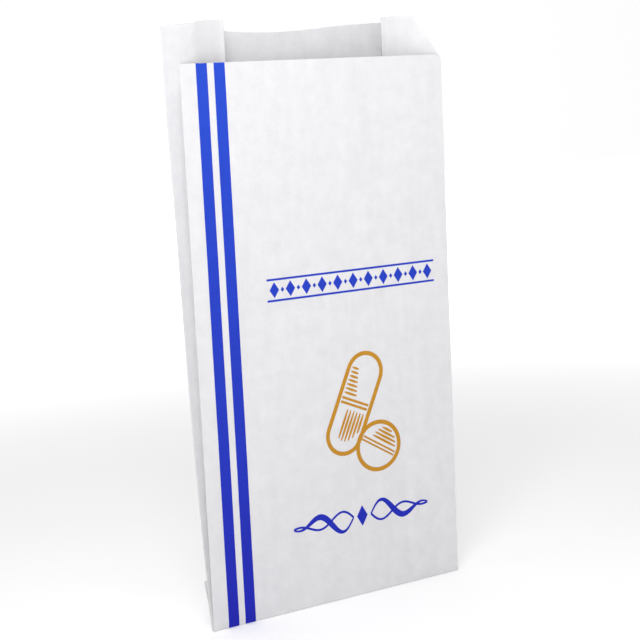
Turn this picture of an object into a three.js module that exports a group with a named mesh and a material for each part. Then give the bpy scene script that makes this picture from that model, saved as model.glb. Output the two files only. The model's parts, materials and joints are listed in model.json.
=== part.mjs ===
// Side-gusset paper bag with a pinched, folded-up and glued bottom, standing on its bottom fold
// with its mouth part open. Millimetres, +Z up; the front faces -Y and the seam is on the back.
//
// One sheet of paper makes the whole bag. Every panel between two creases is its own solid.
// The front plies lean away from the back about one line just above the bottom fold, the two
// inward gusset folds lean half as far, and each gusset leaf creases along its own diagonal.
import * as THREE from 'three';

// The sheet
const PAPER = 0.1;
const PLY_GAP = 0.3; // air between plies that move against each other
const GLUE_FILM = 0.05;

// The bag
const WIDTH = 127; // between the side creases
const LEAF = 25.4; // one leaf of a gusset, half of the gusset's full depth
const HEIGHT = 254; // bottom fold to the top edge of the back
const LIP = 16; // how much lower the front is cut than the back
const LIP_TAPER = 11; // run of the slanting cut across each front leaf
const MOUTH = 14; // depth of the part-open mouth at the front's top edge

// Seam and bottom
const SEAM_X = 0;
const SEAM_LAP = 12;
const SEAM_GLUE_WIDTH = 8;
const FLAP_HEIGHT = 21; // the folded-up bottom, behind the back
const FLAP_GLUE_HEIGHT = 10;
const FLAP_GLUE_START = 6;
const WRAP_RADIUS = 0.5; // outside of the bottom fold's two corners
const WRAP_STEPS = 6; // facets in a quarter turn

// Creases
const SWING_Z = 1.5; // height of the line that the front and the gussets swing about
const DIAGONAL_KERF = 0.4; // slot between the two halves of a leaf
const FOLD_LEG = 1.5; // paper that stays with a gusset's inward fold, on each side of it

// Depth positions, front to back
const STACK = 3 * PLY_GAP + 2 * PAPER; // between the faces of the closed front and back
const SWING_Y = -STACK / 2;
const FRONT_INSIDE = -STACK;
const REAR_LEAF_BACK = -PLY_GAP;
const FRONT_LEAF_BACK = FRONT_INSIDE + PLY_GAP + PAPER;
const FLAP_PITCH = PAPER + GLUE_FILM;
const FLAP_INNER = 2 * FLAP_PITCH;
const PANEL_BOTTOM = PAPER + PLY_GAP;

// Angles at rest
const FRONT_HEIGHT = HEIGHT - LIP;
const FRONT_ANGLE = Math.asin((MOUTH - STACK) / (FRONT_HEIGHT - SWING_Z));
const DIAGONAL_RISE = HEIGHT - SWING_Z;
const DIAGONAL_TILT = Math.atan(LEAF / DIAGONAL_RISE);
const LEAF_ANGLE = Math.asin((DIAGONAL_RISE * Math.tan(FRONT_ANGLE / 2)) / (LEAF * Math.cos(DIAGONAL_TILT)));
const FOLD_SHIFT = LEAF * (1 - Math.cos(LEAF_ANGLE)); // how far a fold moves out as its leaves open
const LEAF_TRIM = FOLD_LEG + FOLD_SHIFT + PLY_GAP;

const PAPER_LOOK = { color: 0xeef0f5, roughness: 0.85, metalness: 0 };
const GLUE_LOOK = { color: 0xe8e2cc, roughness: 0.5, metalness: 0 };

const bag = new THREE.Group();

function add(group, name, geometry, look = PAPER_LOOK) {
  const mesh = new THREE.Mesh(geometry, new THREE.MeshStandardMaterial(look));
  mesh.name = name;
  group.add(mesh);
}

function prism(points, depth) {
  const shape = new THREE.Shape(points.map(([a, b]) => new THREE.Vector2(a, b)));
  return new THREE.ExtrudeGeometry(shape, { depth, bevelEnabled: false });
}

// A flat ply standing in the XZ plane: outline points are (x, z) and back is its rear face's y.
function ply(outline, back, thickness = PAPER) {
  return prism(outline, thickness).rotateX(Math.PI / 2).translate(0, back, 0);
}

function rectangle(left, right, bottom, top) {
  return [[left, bottom], [right, bottom], [right, top], [left, top]];
}

// A group whose contents, given in the closed bag's coordinates, turn about a line.
function turned(parent, pivot, axis, angle) {
  const outer = new THREE.Group();
  const inner = new THREE.Group();
  outer.position.copy(pivot);
  outer.quaternion.setFromAxisAngle(axis, angle);
  inner.position.copy(pivot).negate();
  outer.add(inner);
  parent.add(outer);
  return inner;
}

// What is left of a convex outline on the left of the line from a to b, set off by a margin.
function keepLeft(outline, a, b, margin) {
  const length = Math.hypot(b[0] - a[0], b[1] - a[1]);
  const side = (p) => ((b[0] - a[0]) * (p[1] - a[1]) - (b[1] - a[1]) * (p[0] - a[0])) / length - margin;
  const kept = [];
  outline.forEach((p, i) => {
    const q = outline[(i + 1) % outline.length];
    const here = side(p);
    const next = side(q);
    if (here >= 0) kept.push(p);
    if (here * next < 0) {
      const t = here / (here - next);
      kept.push([p[0] + t * (q[0] - p[0]), p[1] + t * (q[1] - p[1])]);
    }
  });
  return kept;
}

// Back: two margins of the sheet lap at the seam, the right one outside the left one.
function backPanels() {
  const lapLeft = SEAM_X - SEAM_LAP / 2;
  const lapRight = SEAM_X + SEAM_LAP / 2;
  const tall = HEIGHT - PANEL_BOTTOM;
  const left = rectangle(-WIDTH / 2, lapRight, 0, PAPER);
  const right = [
    [lapRight + FLAP_PITCH, 0],
    [WIDTH / 2, 0],
    [WIDTH / 2, PAPER],
    [lapRight + FLAP_PITCH + PAPER, PAPER],
    [lapRight + PAPER, FLAP_PITCH + PAPER],
    [lapLeft, FLAP_PITCH + PAPER],
    [lapLeft, FLAP_PITCH],
    [lapRight, FLAP_PITCH],
  ];
  add(bag, 'back_panel_left', prism(left, tall).translate(0, 0, PANEL_BOTTOM));
  add(bag, 'back_panel_right', prism(right, tall).translate(0, 0, PANEL_BOTTOM));
  const glueLeft = SEAM_X - SEAM_GLUE_WIDTH / 2;
  const glue = rectangle(glueLeft, glueLeft + SEAM_GLUE_WIDTH, PAPER, PAPER + GLUE_FILM);
  add(bag, 'seam_glue', prism(glue, tall).translate(0, 0, PANEL_BOTTOM), GLUE_LOOK);
}

// Bottom: every ply of the flattened tube turns up behind the back, the front's ply outermost.
function bottomFlap() {
  const inner = rectangle(-WIDTH / 2, WIDTH / 2, PANEL_BOTTOM, FLAP_HEIGHT);
  add(bag, 'flap_back_ply', ply(inner, FLAP_INNER + PAPER));
  for (const [side, sign] of [['left', -1], ['right', 1]]) {
    const outside = (sign * WIDTH) / 2;
    const inside = outside - sign * LEAF;
    ['rear', 'front'].forEach((leaf, i) => {
      const outline = rectangle(outside, inside, PANEL_BOTTOM, FLAP_HEIGHT);
      add(bag, `flap_${side}_${leaf}_leaf_ply`, ply(outline, FLAP_INNER + (i + 1) * FLAP_PITCH + PAPER));
    });
    const seamEdge = SEAM_X + sign * (SEAM_LAP / 2 + 2 * FLAP_PITCH);
    const top = FLAP_GLUE_START + FLAP_GLUE_HEIGHT;
    const glue = rectangle(outside, seamEdge, FLAP_GLUE_START, top);
    add(bag, `flap_glue_${side}`, ply(glue, FLAP_INNER, FLAP_INNER - PAPER), GLUE_LOOK);
  }
  add(bag, 'flap_front_ply', wrap());
}

function wrap() {
  const front = FRONT_INSIDE - PAPER;
  const back = FLAP_INNER + 3 * FLAP_PITCH + PAPER;
  const rim = SWING_Z - PLY_GAP / 2;
  const inside = WRAP_RADIUS - PAPER;
  const shape = new THREE.Shape();
  shape.moveTo(back, FLAP_HEIGHT);
  shape.lineTo(back - PAPER, FLAP_HEIGHT);
  shape.lineTo(back - PAPER, WRAP_RADIUS);
  shape.absarc(back - WRAP_RADIUS, WRAP_RADIUS, inside, 0, -Math.PI / 2, true);
  shape.absarc(front + WRAP_RADIUS, WRAP_RADIUS, inside, -Math.PI / 2, -Math.PI, true);
  shape.lineTo(front + PAPER, rim);
  shape.lineTo(front, rim);
  shape.absarc(front + WRAP_RADIUS, WRAP_RADIUS, WRAP_RADIUS, -Math.PI, -Math.PI / 2, false);
  shape.absarc(back - WRAP_RADIUS, WRAP_RADIUS, WRAP_RADIUS, -Math.PI / 2, 0, false);
  const options = { depth: WIDTH, bevelEnabled: false, curveSegments: WRAP_STEPS };
  const toYZ = new THREE.Matrix4().makeBasis(
    new THREE.Vector3(0, 1, 0),
    new THREE.Vector3(0, 0, 1),
    new THREE.Vector3(1, 0, 0),
  );
  return new THREE.ExtrudeGeometry(shape, options).applyMatrix4(toYZ).translate(-WIDTH / 2, 0, 0);
}

// A gusset leaf: the part beside its side crease stays with its panel, and the part beside the
// inward fold turns about the leaf's diagonal.
function leaf(group, side, sign, name, back, turn) {
  const fromSide = (s) => sign * (WIDTH / 2 - s);
  const lower = SWING_Z + PLY_GAP;
  let outline = rectangle(0, LEAF, lower, HEIGHT);
  if (name === 'front') outline = keepLeft(outline, [LIP_TAPER, HEIGHT], [0, FRONT_HEIGHT], 0);
  const foot = [LEAF, SWING_Z];
  const head = [0, HEIGHT];
  const kerf = DIAGONAL_KERF / 2;
  const still = keepLeft(outline, foot, head, kerf);
  const moving = keepLeft(keepLeft(outline, head, foot, kerf), [LEAF, 0], [LEAF, HEIGHT], LEAF_TRIM);
  const placed = (points) => points.map(([s, z]) => [fromSide(s), z]);
  add(group, `${side}_${name}_leaf_base`, ply(placed(still), back));
  const pivot = new THREE.Vector3(fromSide(LEAF), back - PAPER / 2, SWING_Z);
  const axis = new THREE.Vector3(sign * LEAF, 0, DIAGONAL_RISE).normalize();
  add(turned(group, pivot, axis, turn * sign * LEAF_ANGLE), `${side}_${name}_leaf`, ply(placed(moving), back));
}

// The V of paper on each side of a gusset's inward fold line.
function inwardFold(group, side, sign) {
  const half = LEAF_ANGLE / 2;
  const reach = FOLD_LEG * Math.cos(half);
  const rise = FOLD_LEG * Math.sin(half);
  const wall = PAPER / Math.cos(half);
  const crotch = PAPER / Math.sin(half);
  const chevron = [[0, 0], [reach, rise], [reach, rise - wall], [crotch, 0], [reach, wall - rise], [reach, -rise]];
  const foot = HEIGHT - ((LEAF - FOLD_LEG - PLY_GAP) / LEAF) * DIAGONAL_RISE;
  const shape = prism(chevron.map(([a, b]) => [sign * a, b]), HEIGHT - foot);
  shape.rotateY(Math.atan((sign * FOLD_SHIFT) / (HEIGHT - foot)));
  add(group, `${side}_gusset_fold`, shape.translate(sign * (WIDTH / 2 - LEAF), SWING_Y, foot));
}

backPanels();
bottomFlap();

const swing = new THREE.Vector3(0, SWING_Y, SWING_Z);
const across = new THREE.Vector3(1, 0, 0);
const folds = turned(bag, swing, across, FRONT_ANGLE / 2);
const front = turned(bag, swing, across, FRONT_ANGLE);
const frontOutline = rectangle(-WIDTH / 2, WIDTH / 2, SWING_Z + PLY_GAP / 2, FRONT_HEIGHT);
add(front, 'front_panel', ply(frontOutline, FRONT_INSIDE));

for (const [side, sign] of [['left', -1], ['right', 1]]) {
  leaf(bag, side, sign, 'rear', REAR_LEAF_BACK, 1);
  leaf(front, side, sign, 'front', FRONT_LEAF_BACK, -1);
  inwardFold(folds, side, sign);
}

export default bag;
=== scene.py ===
"""A white side-gusset paper bag, printed in blue and gold, standing part open on its bottom fold.

Lengths are in millimetres until a mesh is made, and every mesh, light and camera is in metres.
Each sheet is worked out in the closed bag, and is then leaned about the hinge line at its foot:
the back and its flap not at all, the front all the way above its fold, and each leaf by amounts
that lie between the two.
"""

import json
import math

import bmesh
import bpy
import numpy as np
from mathutils import Matrix, Vector, noise


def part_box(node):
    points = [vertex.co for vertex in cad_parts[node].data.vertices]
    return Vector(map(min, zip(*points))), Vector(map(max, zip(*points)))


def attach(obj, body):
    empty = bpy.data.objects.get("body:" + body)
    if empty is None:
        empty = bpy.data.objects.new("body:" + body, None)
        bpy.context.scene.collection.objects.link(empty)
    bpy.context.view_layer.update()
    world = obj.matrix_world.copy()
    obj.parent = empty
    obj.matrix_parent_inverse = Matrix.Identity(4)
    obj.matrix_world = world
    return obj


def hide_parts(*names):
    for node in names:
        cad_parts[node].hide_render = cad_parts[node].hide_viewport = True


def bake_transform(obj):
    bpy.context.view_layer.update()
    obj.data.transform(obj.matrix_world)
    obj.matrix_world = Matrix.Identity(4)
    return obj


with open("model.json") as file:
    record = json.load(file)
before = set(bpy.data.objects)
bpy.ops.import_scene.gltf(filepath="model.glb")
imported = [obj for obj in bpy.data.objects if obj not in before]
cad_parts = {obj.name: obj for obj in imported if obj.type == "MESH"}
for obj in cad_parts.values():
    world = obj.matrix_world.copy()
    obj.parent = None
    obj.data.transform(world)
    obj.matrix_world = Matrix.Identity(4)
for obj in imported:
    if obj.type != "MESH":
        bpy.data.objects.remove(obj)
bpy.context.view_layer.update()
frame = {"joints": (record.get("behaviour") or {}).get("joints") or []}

MM = 0.001


def box_mm(node):
    """Lowest and highest corner of a CAD node, in millimetres."""
    return [np.array(corner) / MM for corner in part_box(node)]


# The bag's own sizes, from the frame
BACK_LOW, BACK_HIGH = box_mm("back_panel_left")
LEAF_LOW, LEAF_HIGH = box_mm("left_rear_leaf_base")
WRAP_HIGH = box_mm("flap_front_ply")[1]
FRONT_LOW, FRONT_HIGH = box_mm("front_panel")
HINGE = np.array(next(j for j in frame["joints"] if j["name"] == "mouth_opening")["pos_m"]) / MM
HALF = -BACK_LOW[0]
TOP = BACK_HIGH[2]
PAPER = BACK_HIGH[1] - BACK_LOW[1]
BACK_FOOT = BACK_LOW[2]
FLAP_TOP = WRAP_HIGH[2]
LEAN = math.atan2(FRONT_HIGH[1] - FRONT_LOW[1] - PAPER, FRONT_HIGH[2] - FRONT_LOW[2])
FRONT_TOP = HINGE[2] + (FRONT_HIGH[2] - HINGE[2]) / math.cos(LEAN)
GUSSET = HALF + box_mm("flap_left_rear_leaf_ply")[1][0]
SEAM_EDGE = BACK_HIGH[0]

# Depths of the plies' middles in the closed bag
BACK_MID = (BACK_LOW[1] + BACK_HIGH[1]) / 2
REAR_LEAF_MID = (LEAF_LOW[1] + LEAF_HIGH[1]) / 2
FRONT_LEAF_MID = 2 * HINGE[1] - REAR_LEAF_MID
FRONT_MID = 2 * HINGE[1] - BACK_MID
WRAP_MID = WRAP_HIGH[1] - PAPER / 2
LAP_MID = box_mm("back_panel_right")[1][1] - PAPER / 2

# Steps of the meshes
COLUMN = 0.9
LEAF_COLUMN = 0.7
GLUE_COLUMN = 1.0
ROW = 1.8
FLAP_ROW = 1.2
STROKE_STEP = 1.5

# Creases, the bottom fold and the lap of the seam
CREASE = (BACK_MID - REAR_LEAF_MID) / 2
CREASE_X = HALF - CREASE - PAPER / 2
WRAP_BEND = 0.45
FOLD_LOW = 0.3
FOLD_HIGH = 3.0
LAP_START = 0.3
LAP_RUN = 1.2

# Gusset leaves: the run of the slanting cut, how far the leaves stand above the back and over how
# many such runs they rise, how far each inward fold is drawn to its side at the top, where a leaf
# reaches the fold's lean, and how much of its swing over to there is straight
TAPER = 11.0
LEAF_RISE = 1.3
RISE_TAPERS = 1.5
FOLD_DRAW = {"left": 0.6, "right": 1.5}
BLEND_END = GUSSET - 2.2
LEAF_STRAIGHT = 0.55

# How the back stands behind its plane: bowed, curled at the top right and flopped in the middle
BACK_BOW = 3.7
BOW_REACH = 24.0
CORNER_CURL = 4.6
CURL_FROM_X = -20.0
CURL_FROM_Z = 100.0
FLOP = 2.0
FLOP_WIDTH = 40.0
FLOP_FROM_Z = 180.0

# The dip in the back's cut edge, and the front's rounded corner
DIP = 3.3
DIP_X = -13.0
DIP_WIDTH = 36.0
DIP_EDGE = 20.0
CORNER_DROP = 1.2
CORNER_RUN = 3.0

# The flap's left corner, sprung away from the back
FLAP_CURL = 2.0
FLAP_CURL_RUN = 18.0
FLAP_CURL_FROM_Z = 9.0

# Long waves of the two panels, each with a size, a seed and the heights where it sets in
WAVE = 0.35
BACK_WAVE = (60.0, 5, 20.0, 80.0)
FRONT_WAVE = (70.0, 3, 5.0, 60.0)

# The gussets pressing through the front: how far, from where to where beside the inward fold, the
# share that holds up to the top and the height over which the rest dies away
PRESS = 0.16
PRESS_FROM = -2.0
PRESS_TO = 1.0
PRESS_STEADY = 0.6
PRESS_REACH = 70.0

# Wrinkles, coarse and fine, and the wander of the knife, coarse and fine
WRINKLE = 0.07
WRINKLE_COARSE = 9.0
WRINKLE_FINE = 4.0
WRINKLE_FADE = 6.0
RAGGED = 0.12
RAGGED_COARSE = 2.1
RAGGED_FINE = 0.9

# Seeds of the wrinkles and of the cuts
BACK_WRINKLES = 21
FRONT_WRINKLES = 31
LEAF_WRINKLES = 51
BACK_CUT = 11
FRONT_CUT = 13
LEAF_CUT = 41
WRAP_CUT = 61
FLAP_CUT = 63

# Glue: how far its ends stay below the cut edges, and how much of its gap it fills
SEAM_GLUE_DROP = 4.0
GLUE_DROP = 1.0
GLUE_FILL = 0.8

# Ink: how high its top and its foot stand off the paper, how much higher each stroke stands than
# the one before, and how far the stripes stop below the front's cut
INK = 0.03
INK_FOOT = 0.002
INK_STEP = 0.001
STRIPE_DROP = 0.02

# Print on the front, from the bag's left edge and its bottom
STRIPES = ((7.0, 12.0), (15.0, 20.0))
BAND_X = (34.0, 119.0)
BAND_Z = (138.0, 147.0)
FLOURISH_MIDDLE = (76.0, 36.5)
CAPSULE_MIDDLE = (74.5, 88.0)
TABLET_MIDDLE = (86.0, 67.0)
OUTLINE_PEN = 1.9
HATCH_PEN = 1.15
HATCH_TAPER = 0.5

# How the textures are stretched, the same all ways or long up the web, and plain white
EVEN = (1, 1, 1)
UP_WEB = (1, 1, 0.16)
WHITE = (1, 1, 1)

# The floor in metres, and its painted glow from near the bag to far away
FLOOR_RADIUS = 12.0
FLOOR_DROP = 0.0001
GLOW_REACH = (0.2, 1.4)
GLOW = (0.1, 0.8)

# The surround's light, brightest behind the bag and a little to its right
SURROUND_AXIS = (0.29, 0.957, 0)
SURROUND_LOW = 0.15
SURROUND_HIGH = 1.04

# The camera: its place in metres, its yaw, pitch and roll in degrees, and its lens
CAMERA_PLACE = (-0.31271, -0.54696, 0.19682)
CAMERA_TURN = (29.78, 6.43, -4.362)
CAMERA_LENS = 81.56


def smooth(value, low, high):
    """0 below low, 1 above high, and an S curve in between."""
    t = np.clip((value - low) / (high - low), 0, 1)
    return t * t * (3 - 2 * t)


def noise_at(x, z, size, seed):
    """Soft noise from about -1 to 1 with features of a size, at arrays of points."""
    x, z = np.broadcast_arrays(x, z)
    spots = zip((x / size).ravel(), (z / size).ravel())
    values = [noise.noise(Vector((a, seed * 7.31, b))) for a, b in spots]
    return np.array(values).reshape(x.shape)


def waves(x, z, size, seed, low, high):
    """Long waves that set in between two heights."""
    return WAVE * (1 + noise_at(x, z, size, seed)) * smooth(z, low, high)


def lean(points, angle):
    """Closed-bag points turned about the hinge line by an angle, or by an angle each."""
    y = points[..., 1] - HINGE[1]
    z = points[..., 2] - HINGE[2]
    c, s = np.cos(angle), np.sin(angle)
    return np.stack([points[..., 0], HINGE[1] + y * c - z * s, HINGE[2] + y * s + z * c], -1)


def back_shift(x, z):
    """How far the back stands behind its plane: bowed by the gussets, curled at the right."""
    high = np.clip(z / TOP, 0, 1)
    bow = BACK_BOW * (1 - np.exp(-np.clip(z, 0, None) / BOW_REACH)) * (1 - high**3)
    curl = CORNER_CURL * smooth(x, CURL_FROM_X, HALF) * smooth(z, CURL_FROM_Z, TOP)
    flop = FLOP * np.exp(-(((x - DIP_X) / FLOP_WIDTH) ** 2)) * smooth(z, FLOP_FROM_Z, TOP)
    return bow + curl + flop + waves(x, z, *BACK_WAVE)


def front_shift(x, z):
    """How far the front stands out of its plane: long waves, and the gussets pressing through."""
    fold = HALF - GUSSET
    beside = smooth(abs(x), fold + PRESS_FROM, fold + PRESS_TO)
    press = PRESS * beside * (PRESS_STEADY + np.exp(-z / PRESS_REACH))
    return waves(x, z, *FRONT_WAVE) + press


def wrinkles(x, z, seed, edge):
    """Fine crinkle that dies away towards a panel's creases; edge is the way to the nearest."""
    coarse = noise_at(x, z * 0.6, WRINKLE_COARSE, seed)
    fine = 0.5 * noise_at(x, z, WRINKLE_FINE, seed + 1)
    return WRINKLE * (coarse + fine) * smooth(edge, 0, WRINKLE_FADE)


def back_wrinkles(x, z):
    """The back's wrinkles, which run on through its glue and its flap."""
    return wrinkles(x, z, BACK_WRINKLES, HALF - abs(x))


def ragged(x, seed):
    """How far the knife's cut wanders from its line, mostly below it."""
    coarse = noise_at(x, 0 * x, RAGGED_COARSE, seed)
    fine = 0.6 * noise_at(x, 0 * x, RAGGED_FINE, seed + 1)
    return RAGGED * (1 + coarse + fine)


def spread(low, high, step):
    """Evenly spaced values from low to high, about a step apart."""
    return np.linspace(low, high, max(2, round(abs(high - low) / step) + 1))


def arc(centre, radius, start, end, steps=6):
    """Points of an arc, with its angles in degrees."""
    angles = np.radians(np.linspace(start, end, steps + 1))
    return [(centre[0] + radius * math.cos(a), centre[1] + radius * math.sin(a)) for a in angles]


# ---------------------------------------------------------------- meshes


def make_piece(name, vertices, faces, material, slot):
    """A named closed mesh from millimetre points, with its faces turned outward."""
    mesh = bpy.data.meshes.new(name)
    mesh.from_pydata([tuple(v) for v in vertices * MM], [], faces)
    shell = bmesh.new()
    shell.from_mesh(mesh)
    bmesh.ops.recalc_face_normals(shell, faces=shell.faces)
    shell.to_mesh(mesh)
    shell.free()
    mesh.shade_smooth()
    mesh.set_sharp_from_angle(angle=math.radians(40))
    mesh.materials.append(material)
    piece = bpy.data.objects.new(name, mesh)
    bpy.context.scene.collection.objects.link(piece)
    return piece


def normals_of(grid):
    """Unit normals of a grid of points."""
    along = np.gradient(grid, axis=0)
    across = np.gradient(grid, axis=1)
    normal = np.cross(along, across)
    return normal / np.linalg.norm(normal, axis=-1, keepdims=True)


def thick(grid, normal, low, high):
    """Closed shell between two offsets of a grid of points: its vertices and faces."""
    rows, columns = grid.shape[:2]
    count = rows * columns
    layers = [(grid + normal * offset).reshape(-1, 3) for offset in (low, high)]
    index = np.arange(count).reshape(rows, columns)
    corners = [index[:-1, :-1], index[1:, :-1], index[1:, 1:], index[:-1, 1:]]
    quads = np.stack(corners, -1).reshape(-1, 4)
    rim = np.array([*index[:-1, 0], *index[-1, :-1], *index[:0:-1, -1], *index[0, :0:-1]])
    after = np.roll(rim, -1)
    wall = np.stack([after, rim, rim + count, after + count], 1)
    faces = np.concatenate([quads, quads[:, ::-1] + count, wall])
    return np.concatenate(layers), faces.tolist()


def sheet(name, grid, material, slot="bag_paper", thickness=PAPER):
    """A thin sheet, of paper or of glue, around a grid of its middle points."""
    vertices, faces = thick(grid, normals_of(grid), -thickness / 2, thickness / 2)
    return make_piece(name, vertices, faces, material, slot)


def film(grid, facing, lift):
    """Closed skin of ink over a sheet's middle points, on the side that faces -Y or +Y."""
    normal = normals_of(grid)
    normal *= np.sign(normal[len(grid) // 2, -1, 1] * facing)
    return thick(grid, normal, PAPER / 2 + INK_FOOT, PAPER / 2 + lift)


# ---------------------------------------------------------------- paper


def panel_grid(columns, low, high, step=ROW):
    """x and z of a standing panel: high may be one height or a height for each column."""
    high = np.broadcast_to(high, columns.shape)
    share = spread(0, 1, step / (high.max() - low))
    x = np.repeat(columns[:, None], len(share), 1)
    z = low + (high - low)[:, None] * share[None, :]
    return x, z


def with_foot(columns, foot, middle, z):
    """x, depth and height of a ply that comes round the bottom fold on (depth, height) pairs, and
    then stands up to the heights of a panel's grid."""
    feet = np.broadcast_to(foot[None, :, :], (len(columns), *foot.shape))
    depth = np.concatenate([feet[..., 0], np.full(z.shape, middle)], 1)
    z = np.concatenate([feet[..., 1], z], 1)
    x = np.repeat(columns[:, None], z.shape[1], 1)
    return x, depth, z


def back_top(x):
    """The back's cut edge, with the shallow dip in its middle."""
    dip = DIP * np.exp(-(((x - DIP_X) / DIP_WIDTH) ** 2)) * smooth(HALF - abs(x), 0, DIP_EDGE)
    return TOP - dip - ragged(x, BACK_CUT)


def back_sheets(material):
    """The two margins that make the back, the right one lapped outside the left one."""
    left = spread(-CREASE_X, SEAM_EDGE, COLUMN)
    lapped = spread(-SEAM_EDGE, SEAM_EDGE, COLUMN)
    right = np.concatenate([lapped, spread(SEAM_EDGE + LAP_START, CREASE_X, COLUMN)])
    for side, columns, step in (("left", left, 0), ("right", right, LAP_MID - BACK_MID)):
        x, z = panel_grid(columns, BACK_FOOT, back_top(columns))
        lap = step * (1 - smooth(x, SEAM_EDGE, SEAM_EDGE + LAP_RUN))
        y = BACK_MID + back_shift(x, z) + lap + back_wrinkles(x, z)
        piece = sheet(f"back_sheet_{side}", np.stack([x, y, z], -1), material)
        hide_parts(f"back_panel_{side}")
        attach(piece, "back")


def glue_lines(material):
    """Glue between the back's margins, and between the back and the flap."""
    low, high = box_mm("seam_glue")
    high[2] = TOP - DIP - SEAM_GLUE_DROP
    strips = [("seam_glue_line", "seam_glue", low, high, LAP_MID - PAPER / 2)]
    for side in ("left", "right"):
        low, high = box_mm(f"flap_glue_{side}")
        strips.append((f"flap_glue_line_{side}", f"flap_glue_{side}", low, high, high[1]))
    inner = BACK_HIGH[1]
    for name, node, low, high, outer in strips:
        columns = spread(low[0], high[0], GLUE_COLUMN)
        x, z = panel_grid(columns, low[2], high[2] - GLUE_DROP)
        y = (inner + outer) / 2 + back_shift(x, z) + back_wrinkles(x, z)
        grid = np.stack([x, y, z], -1)
        piece = sheet(name, grid, material, "glue", (outer - inner) * GLUE_FILL)
        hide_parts(node)
        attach(piece, "back")


def front_foot():
    """The front ply's run up from the middle of the underside: (depth, height) pairs."""
    under = [(-0.2, PAPER / 2), (-0.45, PAPER / 2)]
    bend = arc((FRONT_MID + WRAP_BEND, PAPER / 2 + WRAP_BEND), WRAP_BEND, 270, 180)
    low = [(FRONT_MID, z) for z in spread(0.8, 4, 0.4)]
    return np.array(under + bend + low)


def front_points(x, depth, z):
    """Where the front ply's middle stands at rest, for closed-bag x, depth and height."""
    upright = smooth(z, FOLD_LOW, FOLD_HIGH)
    creased = wrinkles(x, z, FRONT_WRINKLES, HALF - abs(x))
    out = front_shift(x, z) * upright + creased * upright
    points = np.stack(np.broadcast_arrays(x, depth - out, z), -1)
    return lean(points, LEAN / 2 * (1 + upright))


def front_grid(columns, high):
    """Middle points of the front ply between the underside and a cut at each column's height."""
    foot = front_foot()
    z = panel_grid(columns, foot[-1, 1] + 1.5, high)[1]
    return front_points(*with_foot(columns, foot, FRONT_MID, z))


def front_top(x):
    """The front's cut edge, which rounds off a little at the right corner."""
    return FRONT_TOP - ragged(x, FRONT_CUT) - CORNER_DROP * smooth(x, HALF - CORNER_RUN, HALF)


def follow_front(piece):
    """A front piece, with its placing baked into its mesh."""
    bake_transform(piece)


def front_sheet(material):
    """The printed front, down round the bottom edge to the middle of the underside."""
    columns = spread(-CREASE_X, CREASE_X, COLUMN)
    piece = sheet("front_sheet", front_grid(columns, front_top(columns)), material)
    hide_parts("front_panel")
    follow_front(piece)


def leaf_section(leaf):
    """Section of a gusset leaf at the bag's foot, from its side crease to the inward fold:
    (distance in from the side, depth) pairs."""
    panel = BACK_MID if leaf == "rear" else FRONT_MID
    middle = REAR_LEAF_MID if leaf == "rear" else FRONT_LEAF_MID
    turn = 1 if leaf == "rear" else -1
    start = HALF - CREASE_X
    outer = arc((start, (panel + middle) / 2), CREASE, 90 * turn, 270 * turn, 8)
    run = sorted([*spread(start + 0.5, GUSSET - 0.6, LEAF_COLUMN), TAPER])
    flat = [(inward, middle) for inward in run]
    nose = arc((GUSSET - CREASE, HINGE[1]), CREASE, 90 * turn, 0, 4)
    return np.array(outer + flat + nose)


def leaf_top(inward, sign, leaf):
    """A leaf's cut edge, which slants down on a front leaf to meet the front's."""
    rise = LEAF_RISE * np.clip(inward / (RISE_TAPERS * TAPER), 0, 1)
    high = TOP + rise - ragged(inward + 3, LEAF_CUT + sign)
    if leaf == "rear":
        return high
    slope = (TOP + LEAF_RISE / RISE_TAPERS - FRONT_TOP) / TAPER
    return np.minimum(high, front_top(sign * HALF) + slope * inward)


def leaf_sheet(side, leaf, material):
    """One leaf of a gusset. It leaves its panel along the side crease and swings over to the
    inward fold, which leans half as far as the front."""
    sign = -1 if side == "left" else 1
    section = leaf_section(leaf)
    inward = section[:, 0]
    s, z = panel_grid(inward, BACK_FOOT, leaf_top(inward, sign, leaf))
    start = HALF - CREASE_X
    run = np.clip((s - start) / (BLEND_END - start), 0, 1)
    draw = LEAF_STRAIGHT * run + (1 - LEAF_STRAIGHT) * smooth(run, 0, 1)
    drawn = s - FOLD_DRAW[side] * draw * z / TOP
    x = sign * (HALF - drawn)
    depth = np.repeat(section[:, 1:], z.shape[1], 1)
    behind = back_shift(sign * HALF, z)
    rumple = wrinkles(x, z, LEAF_WRINKLES + sign, np.minimum(s, GUSSET - s))
    if leaf == "rear":
        angle = LEAN / 2 * draw
        shift = behind * (1 - draw / 2)
    else:
        angle = LEAN * (1 - draw / 2)
        shift = behind * draw / 2 - front_shift(sign * HALF, z) * (1 - draw)
    points = lean(np.stack([x, depth, z], -1), angle)
    points[..., 1] += shift + rumple
    piece = sheet(f"{side}_{leaf}_leaf_sheet", points, material)
    nodes = [f"{side}_{leaf}_leaf", f"{side}_{leaf}_leaf_base"]
    if leaf == "front":
        nodes.append(f"{side}_gusset_fold")
    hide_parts(*nodes)
    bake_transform(piece)


def flap_shift(x, z):
    """How far the flap stands behind its plane: with the back, and sprung at its left corner."""
    corner = smooth(-x, HALF - FLAP_CURL_RUN, HALF) * smooth(z, FLAP_CURL_FROM_Z, FLAP_TOP)
    return back_shift(x, z) + FLAP_CURL * corner


def flap_grid(columns, depth, low, high):
    """Middle points of one flat ply of the flap, which follows the back that it is glued to."""
    x, z = panel_grid(columns, low, high, FLAP_ROW)
    return np.stack([x, depth + flap_shift(x, z) + back_wrinkles(x, z), z], -1)


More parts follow.
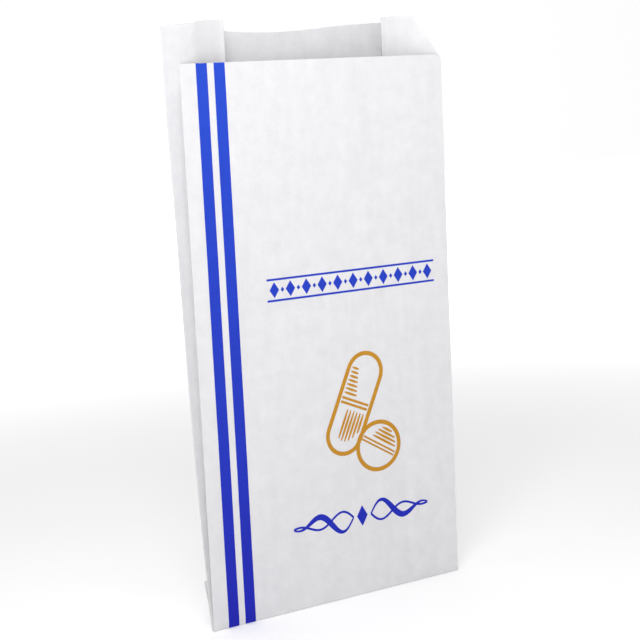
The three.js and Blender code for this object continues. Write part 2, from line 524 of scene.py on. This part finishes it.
def wrap_grid(columns):
    """Middle points of the flap's outer ply, from the middle of the underside up the back."""
    under = [(-0.18, PAPER / 2), (0.1, PAPER / 2)]
    bend = arc((WRAP_MID - WRAP_BEND, PAPER / 2 + WRAP_BEND), WRAP_BEND, 270, 360)
    low = [(WRAP_MID, 0.8), (WRAP_MID, 1.6)]
    z = panel_grid(columns, 2.4, FLAP_TOP - ragged(columns, WRAP_CUT), FLAP_ROW)[1]
    x, depth, z = with_foot(columns, np.array(under + bend + low), WRAP_MID, z)
    shift = flap_shift(x, z) * smooth(z, 0, 1.5)
    creased = back_wrinkles(x, z) * smooth(z, FOLD_LOW, FOLD_HIGH)
    return np.stack([x, depth + shift + creased, z], -1)


def flap_sheets(material):
    """Every ply of the flattened tube, turned up behind the back."""
    outer = sheet("flap_outer_sheet", wrap_grid(spread(-HALF, HALF, COLUMN)), material)
    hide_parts("flap_front_ply")
    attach(outer, "back")
    sides = ("left", "right")
    leaves = [f"flap_{side}_{leaf}_leaf" for side in sides for leaf in ("rear", "front")]
    for ply in ["flap_back", *leaves]:
        low, high = box_mm(f"{ply}_ply")
        columns = spread(low[0], high[0], COLUMN)
        cut = high[2] - ragged(columns, FLAP_CUT + low[1])
        grid = flap_grid(columns, (low[1] + high[1]) / 2, low[2], cut)
        piece = sheet(f"{ply}_sheet", grid, material)
        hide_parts(f"{ply}_ply")
        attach(piece, "back")


# ---------------------------------------------------------------- print


def ribbon(path, widths, closed=False):
    """Edges and middle of an inked stroke along a path on the front: x from the bag's middle and
    height, with one width or a width at each point."""
    path = np.array(path, float)
    if closed:
        ahead, behind = np.roll(path, -1, 0), np.roll(path, 1, 0)
    else:
        ahead = np.vstack([path[1:], path[-1:]])
        behind = np.vstack([path[:1], path[:-1]])
    along = ahead - behind
    along /= np.linalg.norm(along, axis=1, keepdims=True)
    across = np.stack([-along[:, 1], along[:, 0]], 1)
    side = across * np.broadcast_to(widths, len(path))[:, None] / 2
    edges = np.stack([path - side, path, path + side], 1)
    return np.concatenate([edges, edges[:1]]) if closed else edges


def ink_strokes(name, strokes, material, slot):
    """One printed piece from several strokes, each a hair thicker than the one before."""
    vertices, faces, count = [], [], 0
    for number, edges in enumerate(strokes):
        grid = front_points(edges[..., 0], FRONT_MID, edges[..., 1])
        shell, shell_faces = film(grid, -1, INK + INK_STEP * number)
        vertices.append(shell)
        faces += [[corner + count for corner in face] for face in shell_faces]
        count += len(shell)
    return make_piece(name, np.concatenate(vertices), faces, material, slot)


def from_left(x):
    """x of a print that is measured from the bag's left edge."""
    return x - HALF


def line(start, end, width, taper=0.0):
    """A straight stroke, with its ends drawn thinner by a taper from 0 to 1."""
    count = max(3, round(math.dist(start, end) / STROKE_STEP) + 1)
    t = np.linspace(0, 1, count)
    path = np.array(start)[None, :] * (1 - t[:, None]) + np.array(end)[None, :] * t[:, None]
    return ribbon(path, width * (1 - taper * (2 * t - 1) ** 2))


def hatch(start, end):
    """One thin stroke of the emblem's shading, finer at its ends."""
    return line(start, end, HATCH_PEN, HATCH_TAPER)


def lozenge(centre, width, height):
    """A filled lozenge, as a stroke that widens and narrows."""
    t = np.linspace(-1, 1, 9)
    path = np.stack([np.full(len(t), centre[0]), centre[1] + t * height / 2], 1)
    return ribbon(path, np.maximum(width * (1 - abs(t)), 0.05))


def stripes(material):
    """The pair of blue stripes down the front and on over the bottom fold."""
    for number, (low, high) in enumerate(STRIPES, 1):
        columns = spread(from_left(low), from_left(high), COLUMN)
        skin = film(front_grid(columns, front_top(columns) - STRIPE_DROP), -1, INK)
        follow_front(make_piece(f"blue_stripe_{number}", *skin, material, "blue_ink"))
        skin = film(wrap_grid(columns), 1, INK)
        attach(make_piece(f"blue_stripe_{number}_flap", *skin, material, "blue_ink"), "back")


def ornament_band(material):
    """A row of lozenges and dots between two rules."""
    left, right = map(from_left, BAND_X)
    middle = sum(BAND_Z) / 2
    count, margin, rule = 11, 3.5, 0.9
    strokes = [line((left, z), (right, z), rule) for z in BAND_Z]
    places = np.linspace(left + margin, right - margin, 2 * count - 1)
    strokes += [lozenge((x, middle), 4.6, 6.8) for x in places[::2]]
    strokes += [lozenge((x, middle), 1.7, 2.2) for x in places[1::2]]
    piece = ink_strokes("blue_ornament_band", strokes, material, "blue_ink")
    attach(piece, "front")


def flourish(material):
    """A divider: two tapering waves, a bold and a fine one, either side of a lozenge."""
    middle = (from_left(FLOURISH_MIDDLE[0]), FLOURISH_MIDDLE[1])
    gap, reach = 4.6, 30.4
    strokes = [lozenge(middle, 5.6, 9.6)]
    t = np.linspace(0, 1, 80)
    swing = np.sin(2.5 * math.pi * t) * (1 - t) ** 0.7
    bold = 0.8 + 2.5 * np.sin(math.pi * t) ** 2 * (1 - 0.4 * t)
    for side in (-1, 1):
        for height, pen in ((6.4 * side, bold), (-4.2 * side, 1.0)):
            path = np.stack([middle[0] + side * (gap + reach * t), middle[1] + height * swing], 1)
            strokes.append(ribbon(path, pen))
    piece = ink_strokes("blue_flourish", strokes, material, "blue_ink")
    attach(piece, "front")


def turned(points, centre, degrees):
    """Flat points turned about their own origin, and then moved to a centre."""
    angle = math.radians(degrees)
    c, s = math.cos(angle), math.sin(angle)
    x, z = np.array(points).T
    return np.stack([centre[0] + x * c - z * s, centre[1] + x * s + z * c], 1)


def stadium(length, radius):
    """Outline of a capsule standing upright about its own middle."""
    straight = length / 2 - radius
    steps = 18
    top = arc((0, straight), radius, 0, 180, steps)
    bottom = arc((0, -straight), radius, 180, 360, steps)
    flank = spread(straight, -straight, STROKE_STEP)[1:-1]
    return top + [(-radius, z) for z in flank] + bottom + [(radius, -z) for z in flank]


def capsule():
    """A leaning capsule: its outline, the joint of its halves and hatched shading."""
    centre = (from_left(CAPSULE_MIDDLE[0]), CAPSULE_MIDDLE[1])
    length, radius, tilt = 46.0, 8.6, -24.0
    outline = turned(stadium(length, radius), centre, tilt)
    strokes = [ribbon(outline, OUTLINE_PEN, closed=True)]
    inner = radius - OUTLINE_PEN / 2 - 0.5
    for z in (1.0, -1.0):
        strokes.append(line(*turned([(-inner, z), (inner, z)], centre, tilt), 1.1))
    reach = inner - 0.3
    for z in np.arange(3.4, 16.5, 1.9):
        strokes.append(hatch(*turned([(-reach, z), (-reach + 7.6 - 0.28 * z, z)], centre, tilt)))
    for x in np.arange(-2.4, 6.4, 1.7):
        strokes.append(hatch(*turned([(x, -3.4), (x, -17.5 + 0.14 * x * x)], centre, tilt)))
    return strokes


def tablet():
    """A round tablet: its outline, the score across it and hatched shading."""
    centre = (from_left(TABLET_MIDDLE[0]), TABLET_MIDDLE[1])
    radius, tilt = 10.8, 58
    outline = turned(arc((0, 0), radius, 0, 355, 71), centre, 0)
    strokes = [ribbon(outline, OUTLINE_PEN, closed=True)]
    for x in (-0.8, 0.8):
        strokes.append(line(*turned([(x, -radius + 1.4), (x, radius - 1.4)], centre, tilt), 0.8))
    for x in np.arange(3.1, 8.4, 1.7):
        reach = math.sqrt((radius - OUTLINE_PEN) ** 2 - x**2)
        strokes.append(hatch(*turned([(x, -reach), (x, reach * 0.6)], centre, tilt)))
    return strokes


def emblem(material):
    """A capsule leaning over a scored tablet."""
    piece = ink_strokes("gold_emblem", capsule() + tablet(), material, "gold_ink")
    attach(piece, "front")


# ---------------------------------------------------------------- materials


def grey(level):
    """A grey colour."""
    return (level, level, level)


def shader_node(tree, kind, **inputs):
    """A shader node with some of its inputs set."""
    made = tree.nodes.new(kind)
    for name, value in inputs.items():
        made.inputs[name].default_value = value
    return made


def stretched(tree, scale):
    """Object coordinates, stretched."""
    coordinates = tree.nodes.new("ShaderNodeTexCoord")
    mapping = shader_node(tree, "ShaderNodeMapping", Scale=scale)
    tree.links.new(coordinates.outputs["Object"], mapping.inputs["Vector"])
    return mapping.outputs["Vector"]


def noise_node(tree, vector, scale, detail, roughness):
    """A noise texture's value."""
    inputs = {"Scale": scale, "Detail": detail, "Roughness": roughness}
    made = shader_node(tree, "ShaderNodeTexNoise", **inputs)
    tree.links.new(vector, made.inputs["Vector"])
    return made.outputs["Fac"]


def ramp(tree, value, *stops):
    """A colour ramp over a value, with two (place, colour) stops."""
    made = tree.nodes.new("ShaderNodeValToRGB")
    for element, (place, colour) in zip(made.color_ramp.elements, stops):
        element.position = place
        element.color = (*colour, 1)
    tree.links.new(value, made.inputs["Fac"])
    return made.outputs["Color"]


def mix(tree, share, a, b, mode):
    """Two colours mixed by a share that is a number."""
    made = tree.nodes.new("ShaderNodeMix")
    made.data_type = "RGBA"
    made.blend_type = mode
    made.inputs["Factor"].default_value = share
    tree.links.new(a, made.inputs["A"])
    tree.links.new(b, made.inputs["B"])
    return made.outputs["Result"]


def multiplied(tree, a, b):
    """Two colours multiplied."""
    return mix(tree, 1.0, a, b, "MULTIPLY")


def bump(tree, height, strength, distance, below=None):
    """A bump from a height, over another one."""
    made = shader_node(tree, "ShaderNodeBump", Strength=strength, Distance=distance)
    tree.links.new(height, made.inputs["Height"])
    if below:
        tree.links.new(below, made.inputs["Normal"])
    return made.outputs["Normal"]


def paper_bumps(tree, plain, web, fibre_strength):
    """Soft cockle, with fibres over it that run up the web."""
    cockle = bump(tree, noise_node(tree, plain, 95, 3, 0.5), 0.35, 0.0006)
    fibres = noise_node(tree, web, 2600, 4, 0.7)
    return bump(tree, fibres, fibre_strength, 0.00005, cockle)


def shader(name, specular):
    """A new material with a bare Principled shader: the material, its tree and shader node."""
    material = bpy.data.materials.new(name)
    material.use_nodes = True
    tree = material.node_tree
    principled = tree.nodes["Principled BSDF"]
    principled.inputs["Specular IOR Level"].default_value = specular
    return material, tree, principled


def paper_material():
    """Bleached bag paper: cloudy formation, faint streaks up the web, fibres and soft cockle."""
    material, tree, principled = shader("bag_paper", 0.28)
    plain = stretched(tree, EVEN)
    web = stretched(tree, UP_WEB)
    clouds = noise_node(tree, plain, 150, 5, 0.62)
    formation = ramp(tree, clouds, (0.34, (0.79, 0.787, 0.808)), (0.68, (0.84, 0.836, 0.855)))
    streaking = noise_node(tree, web, 210, 3, 0.55)
    streaks = ramp(tree, streaking, (0.3, (0.965, 0.965, 0.967)), (0.7, WHITE))
    specking = noise_node(tree, plain, 1900, 2, 0.5)
    specks = ramp(tree, specking, (0.3, (0.965, 0.963, 0.955)), (0.5, WHITE))
    colour = multiplied(tree, multiplied(tree, formation, streaks), specks)
    tree.links.new(colour, principled.inputs["Base Color"])
    gloss = ramp(tree, clouds, (0.3, grey(0.74)), (0.7, grey(0.88)))
    tree.links.new(gloss, principled.inputs["Roughness"])
    tree.links.new(paper_bumps(tree, plain, web, 0.3), principled.inputs["Normal"])
    return material


def ink_material(name, shaded_foot_colour, lit_top_colour, roughness):
    """Printing ink, laid down unevenly, with painted shade that runs from darker at the foot to
    lighter towards the mouth, and with the paper's fibres through it."""
    material, tree, principled = shader(name, 0.2)
    plain = stretched(tree, EVEN)
    web = stretched(tree, UP_WEB)
    fine = noise_node(tree, plain, 700, 4, 0.6)
    coarse = noise_node(tree, plain, 120, 3, 0.5)
    laydown = mix(tree, 0.5, fine, coarse, "MIX")
    uneven = ramp(tree, laydown, (0.35, grey(0.9)), (0.65, WHITE))
    # Painted shade: the ink's colour goes from the darker foot colour to the lighter top colour
    # with height, as the light falls off down the front.
    height = tree.nodes.new("ShaderNodeSeparateXYZ")
    tree.links.new(plain, height.inputs["Vector"])
    share = tree.nodes.new("ShaderNodeMath")
    share.operation = "DIVIDE"
    share.inputs[1].default_value = FRONT_TOP * MM
    tree.links.new(height.outputs["Z"], share.inputs[0])
    painted_shade = ramp(tree, share.outputs["Value"], (0.0, shaded_foot_colour), (1.0, lit_top_colour))
    tree.links.new(multiplied(tree, painted_shade, uneven), principled.inputs["Base Color"])
    principled.inputs["Roughness"].default_value = roughness
    tree.links.new(paper_bumps(tree, plain, web, 0.22), principled.inputs["Normal"])
    return material


def glue_material():
    """Dried paste, a little yellow and uneven."""
    material, tree, principled = shader("glue", 0.45)
    lumps = noise_node(tree, stretched(tree, EVEN), 420, 4, 0.6)
    colour = ramp(tree, lumps, (0.3, (0.68, 0.63, 0.5)), (0.7, (0.82, 0.78, 0.66)))
    tree.links.new(colour, principled.inputs["Base Color"])
    gloss = ramp(tree, lumps, (0.3, grey(0.4)), (0.7, grey(0.6)))
    tree.links.new(gloss, principled.inputs["Roughness"])
    tree.links.new(bump(tree, lumps, 0.3, 0.0001), principled.inputs["Normal"])
    return material


# ---------------------------------------------------------------- stage


def map_range(tree, value, reach, levels):
    """A value mapped from a range to two levels: the node."""
    made = tree.nodes.new("ShaderNodeMapRange")
    for name, number in zip(("From Min", "From Max", "To Min", "To Max"), (*reach, *levels)):
        made.inputs[name].default_value = number
    tree.links.new(value, made.inputs["Value"])
    return made


def stage():
    """A pale floor that glows with painted light, dim near the bag and bright away from it, as a
    lit studio sweep looks.
    """
    material, tree, principled = shader("floor_paint_and_glow", 0.1)
    principled.inputs["Base Color"].default_value = (0.97, 0.97, 0.97, 1)
    principled.inputs["Roughness"].default_value = 0.9
    principled.inputs["Emission Color"].default_value = (1, 1, 1, 1)
    # Painted light: the floor's emission strength rises with the distance from the bag.
    distance = tree.nodes.new("ShaderNodeVectorMath")
    distance.operation = "LENGTH"
    tree.links.new(stretched(tree, EVEN), distance.inputs[0])
    glow = map_range(tree, distance.outputs["Value"], GLOW_REACH, GLOW)
    glow.interpolation_type = "SMOOTHSTEP"
    tree.links.new(glow.outputs["Result"], principled.inputs["Emission Strength"])
    bpy.ops.mesh.primitive_circle_add(
        vertices=96, radius=FLOOR_RADIUS, fill_type="NGON", location=(0, 0, -FLOOR_DROP)
    )
    floor = bpy.context.object
    floor.name = "floor"
    floor.data.materials.append(material)


def area_light(name, place, size, power, tint):
    """A square soft light aimed at the upper part of the bag."""
    data = bpy.data.lights.new(name, "AREA")
    data.size = size
    data.energy = power
    data.color = tint
    light = bpy.data.objects.new(name, data)
    light.location = place
    aim = Vector((0, 0, 0.2)) - Vector(place)
    light.rotation_euler = aim.to_track_quat("-Z", "Y").to_euler()
    bpy.context.scene.collection.objects.link(light)


def surround():
    """A world that is dim in front of the bag and bright behind it."""
    world = bpy.data.worlds.new("surround")
    world.use_nodes = True
    tree = world.node_tree
    background = tree.nodes["Background"]
    towards = tree.nodes.new("ShaderNodeTexCoord")
    along = tree.nodes.new("ShaderNodeVectorMath")
    along.operation = "DOT_PRODUCT"
    along.inputs[1].default_value = SURROUND_AXIS
    tree.links.new(towards.outputs["Generated"], along.inputs[0])
    level = map_range(tree, along.outputs["Value"], (-1, 1), (SURROUND_LOW, SURROUND_HIGH))
    tree.links.new(level.outputs["Result"], background.inputs["Strength"])
    background.inputs["Color"].default_value = (0.995, 0.99, 1, 1)
    bpy.context.scene.world = world


def camera():
    """The camera, in front of the bag and to its left, tipped down and rolled a little."""
    yaw, pitch, roll = map(math.radians, CAMERA_TURN)
    flat = math.cos(pitch)
    forward = Vector((math.sin(yaw) * flat, math.cos(yaw) * flat, -math.sin(pitch)))
    level = Vector((math.cos(yaw), -math.sin(yaw), 0))
    upright = level.cross(forward)
    right = math.cos(roll) * level + math.sin(roll) * upright
    up = math.cos(roll) * upright - math.sin(roll) * level
    data = bpy.data.cameras.new("camera")
    data.lens = CAMERA_LENS
    data.clip_start, data.clip_end = 0.01, 50
    made = bpy.data.objects.new("camera", data)
    rotation = Matrix((right, up, -forward)).transposed()
    made.matrix_world = Matrix.Translation(CAMERA_PLACE) @ rotation.to_4x4()
    bpy.context.scene.collection.objects.link(made)
    bpy.context.scene.camera = made


camera()
area_light("key", (-0.3, -0.43, 0.5), 0.25, 1.4, (1, 0.995, 0.985))
area_light("overhead", (-0.14, -0.33, 0.8), 0.4, 1.6, WHITE)
surround()
stage()
bpy.context.scene.view_settings.view_transform = "Standard"

paper = paper_material()
glue = glue_material()
# Each ink's two colours are its printed colour with painted shade: darker at the foot, lighter at
# the mouth.
blue = ink_material("blue_ink", (0.012, 0.016, 0.48), (0.02, 0.075, 0.63), 0.7)
gold = ink_material("gold_ink", (0.58, 0.27, 0.018), (0.62, 0.3, 0.025), 0.6)

back_sheets(paper)
glue_lines(glue)
front_sheet(paper)
flap_sheets(paper)
for side in ("left", "right"):
    for leaf in ("rear", "front"):
        leaf_sheet(side, leaf, paper)
stripes(blue)
ornament_band(blue)
flourish(blue)
emblem(gold)
